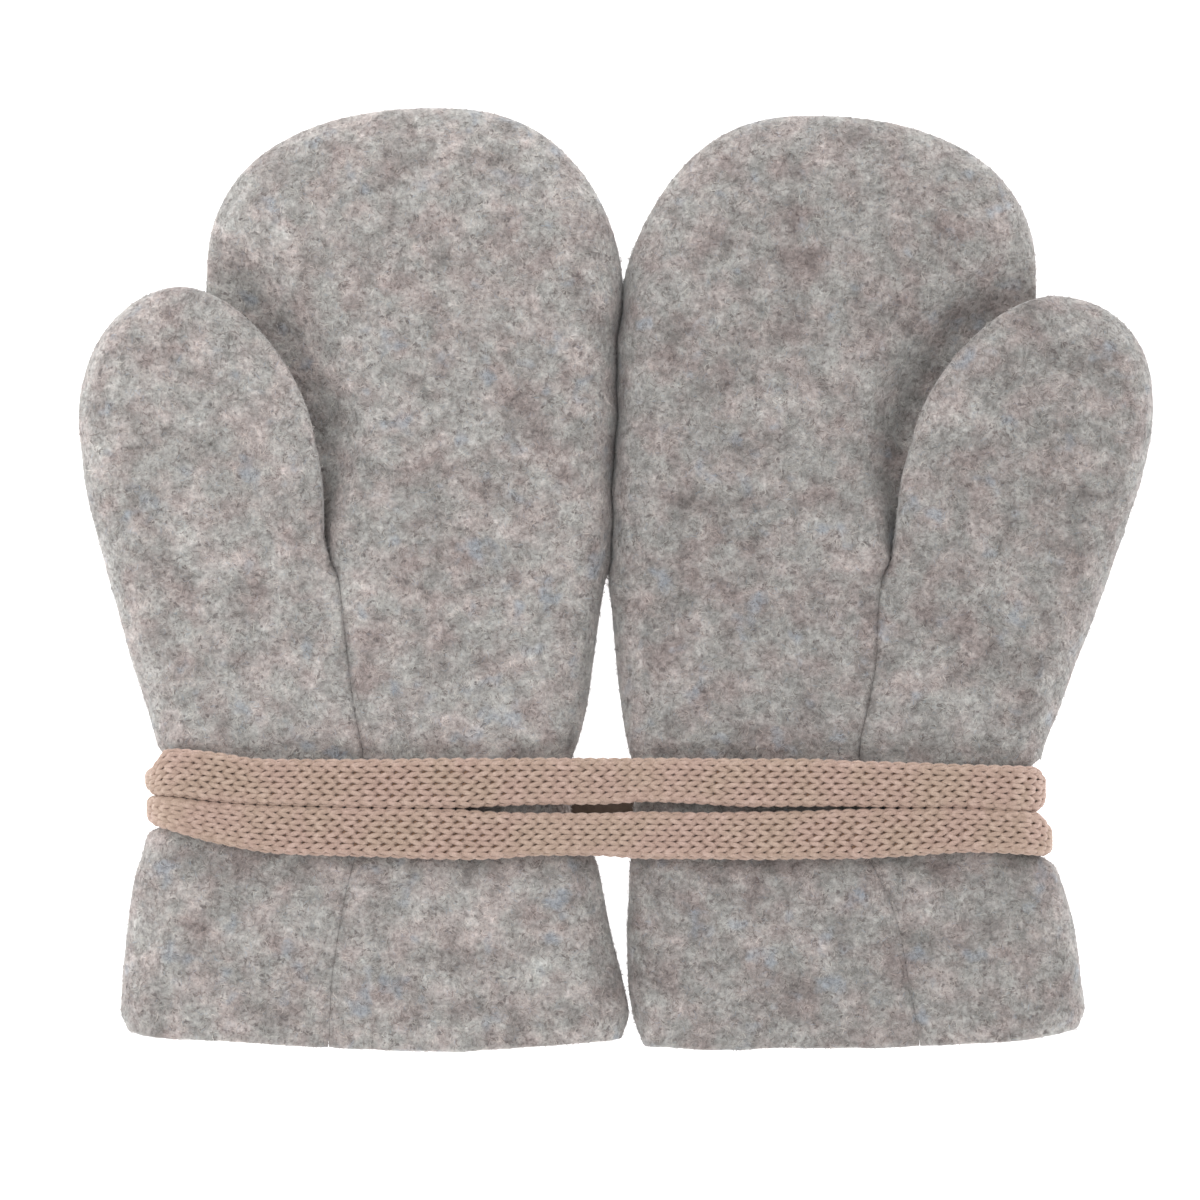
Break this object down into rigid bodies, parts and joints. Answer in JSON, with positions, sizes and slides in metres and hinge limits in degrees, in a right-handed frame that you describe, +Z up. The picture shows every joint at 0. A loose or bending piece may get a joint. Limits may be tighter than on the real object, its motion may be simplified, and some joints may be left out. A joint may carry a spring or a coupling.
{
  "type": "pair of baby mittens",
  "caption": "Soft wool fleece baby mittens with thumbs, laid flat palm up side by side, their knitted cord wound round the wrists.",
  "frame": {"origin": "centre of the pair's footprint, on the surface it lies on", "axes": "+X across the pair from the left mitten to the right one, +Y from the hems to the fingertips, +Z up, out of the palms"},
  "size_m": [0.1611, 0.1415, 0.0132],
  "materials": {
    "wool_fleece": "brushed grey melange wool fleece with a short soft nap",
    "knitted_cord": "matt flat knitted cotton cord in taupe pink"
  },
  "bodies": {
    "root": {"left_back": "wool_fleece", "left_palm": "wool_fleece", "left_thumb": "wool_fleece", "right_back": "wool_fleece", "right_palm": "wool_fleece", "right_thumb": "wool_fleece", "cord_upper": "knitted_cord", "cord_lower": "knitted_cord", "cord_under": "knitted_cord", "cord_left_end": "knitted_cord", "cord_right_end": "knitted_cord"}
  },
  "joints": []
}
